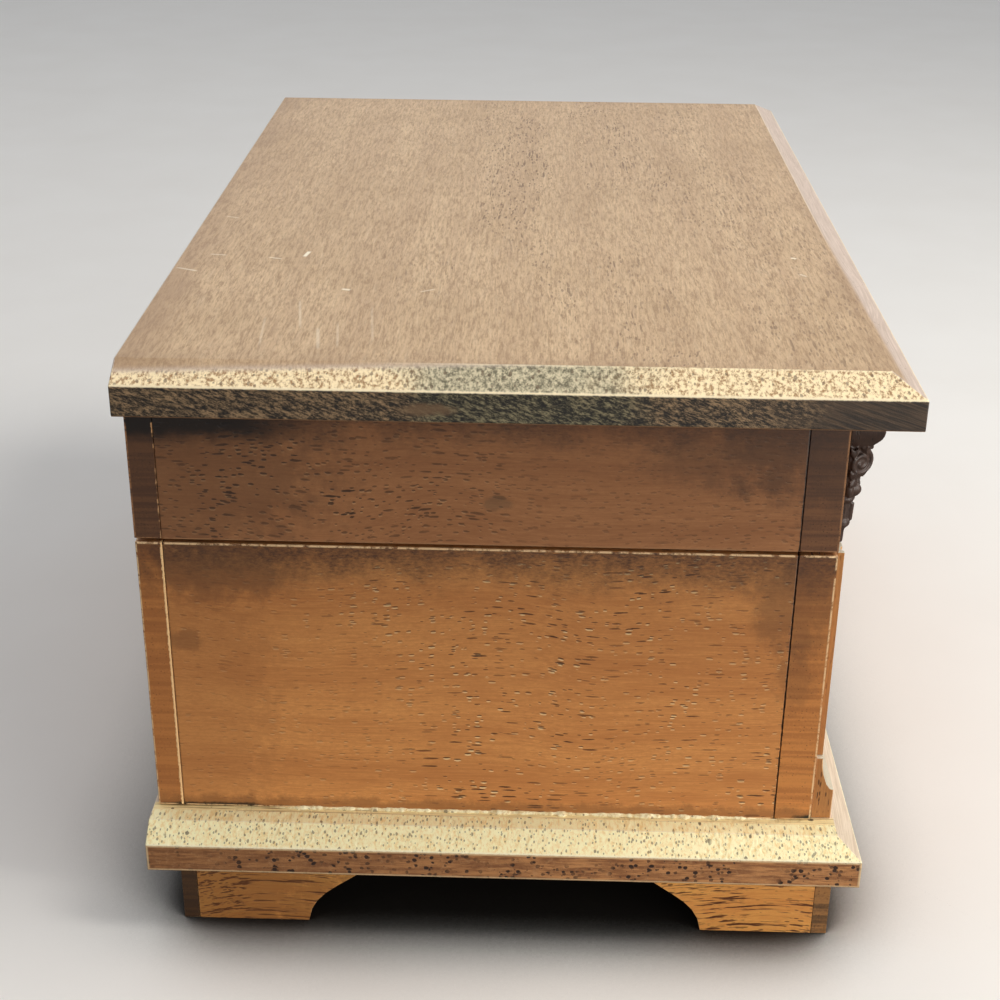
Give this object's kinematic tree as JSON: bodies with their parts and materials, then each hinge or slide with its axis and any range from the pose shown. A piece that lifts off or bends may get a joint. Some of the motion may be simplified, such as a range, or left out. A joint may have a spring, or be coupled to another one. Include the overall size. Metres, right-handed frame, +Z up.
{
  "type": "musical jewelry box",
  "caption": "Wooden jewelry box on bracket feet with a hinged mirror lid, lined compartments, ring rolls and a wind-up musical movement with a key below.",
  "frame": {"origin": "on the ground under the middle of the overall plan, hinge barrels included", "axes": "+X along the box's length, to the right seen from the front; the front faces -Y and the hinged back +Y; +Z up"},
  "size_m": [0.25, 0.1658, 0.1409],
  "materials": {
    "lid_wood": "satin, open-pored, grain along the length",
    "case_wood": "satin stained, open-pored",
    "base_wood": "satin, worn end grain with dark pores",
    "foot_wood": "satin stained",
    "carved_wood": "dark stained carving",
    "velvet": "short pile velvet",
    "mirror": "silvered glass",
    "clear_sheet": "clear polished sheet",
    "brass": "polished",
    "steel": "satin"
  },
  "bodies": {
    "case": {"base_board": "base_wood", "foot_front_left": "foot_wood", "foot_front_right": "foot_wood", "foot_back_left": "foot_wood", "foot_back_right": "foot_wood", "foot_left_front": "foot_wood", "foot_left_back": "foot_wood", "foot_right_front": "foot_wood", "foot_right_back": "foot_wood", "case_front": "case_wood", "case_back": "case_wood", "case_left_end": "case_wood", "case_right_end": "case_wood", "shaft_left": "case_wood", "shaft_right": "case_wood", "plinth_left": "case_wood", "plinth_right": "case_wood", "lining_front": "velvet", "lining_back": "velvet", "lining_left": "velvet", "lining_right": "velvet", "floor_pad_main": "velvet", "floor_pad_side": "velvet", "ring_roll_1": "velvet", "ring_roll_2": "velvet", "ring_roll_3": "velvet", "bay_side_partition": "case_wood", "bay_front_partition": "case_wood", "ring_divider": "case_wood", "cover_ledge": "case_wood", "movement_cover": "clear_sheet", "bedplate": "brass", "spring_housing": "steel", "mainspring": "steel", "comb": "steel", "comb_screw_1": "steel", "comb_screw_2": "steel", "governor_frame": "brass", "hinge_case_leaf_left": "brass", "hinge_case_leaf_right": "brass", "hinge_pin_left": "brass", "hinge_pin_right": "brass"},
    "lid": {"lid_board": "lid_wood", "rim_front": "case_wood", "rim_back": "case_wood", "rim_left_end": "case_wood", "rim_right_end": "case_wood", "capital_left": "carved_wood", "capital_right": "carved_wood", "mirror": "mirror", "mirror_surround": "velvet", "hinge_lid_leaf_left": "brass", "hinge_lid_leaf_right": "brass"},
    "winding": {"main_wheel": "brass", "winding_key": "brass"},
    "cylinder": {"music_cylinder": "brass", "cylinder_arbor": "steel"},
    "governor": {"governor_wheel": "brass"},
    "fan": {"governor_fan": "steel"},
    "stop": {"stop_wire": "steel"}
  },
  "joints": [
    {"name": "lid_hinge", "type": "hinge", "parent": "case", "child": "lid", "pos_m": [0, 0.08115, 0.09685], "axis": [-1, 0, 0], "range_deg": [0, 100]},
    {"name": "key_turn", "type": "hinge", "parent": "case", "child": "winding", "pos_m": [0.0575, 0.05066, 0.03215], "axis": [0, 0, 1], "continuous": true},
    {"name": "cylinder_turn", "type": "hinge", "parent": "case", "child": "cylinder", "pos_m": [0.0575, 0.05066, 0.03975], "axis": [1, 0, 0], "continuous": true},
    {"name": "governor_turn", "type": "hinge", "parent": "case", "child": "governor", "pos_m": [0.0575, 0.05899, 0.03865], "axis": [1, 0, 0], "continuous": true},
    {"name": "fan_turn", "type": "hinge", "parent": "case", "child": "fan", "pos_m": [0.09635, 0.06555, 0.03215], "axis": [0, 0, 1], "continuous": true},
    {"name": "stop_rise", "type": "slide", "parent": "case", "child": "stop", "axis": [0, 0, 1], "range_m": [0, 0.003]}
  ],
  "couplings": [
    {"joint": "cylinder_turn", "follows": "key_turn", "ratio": 4},
    {"joint": "governor_turn", "follows": "key_turn", "ratio": -12},
    {"joint": "fan_turn", "follows": "key_turn", "ratio": 120},
    {"joint": "stop_rise", "follows": "lid_hinge", "m_per_rad": 0.0017}
  ]
}
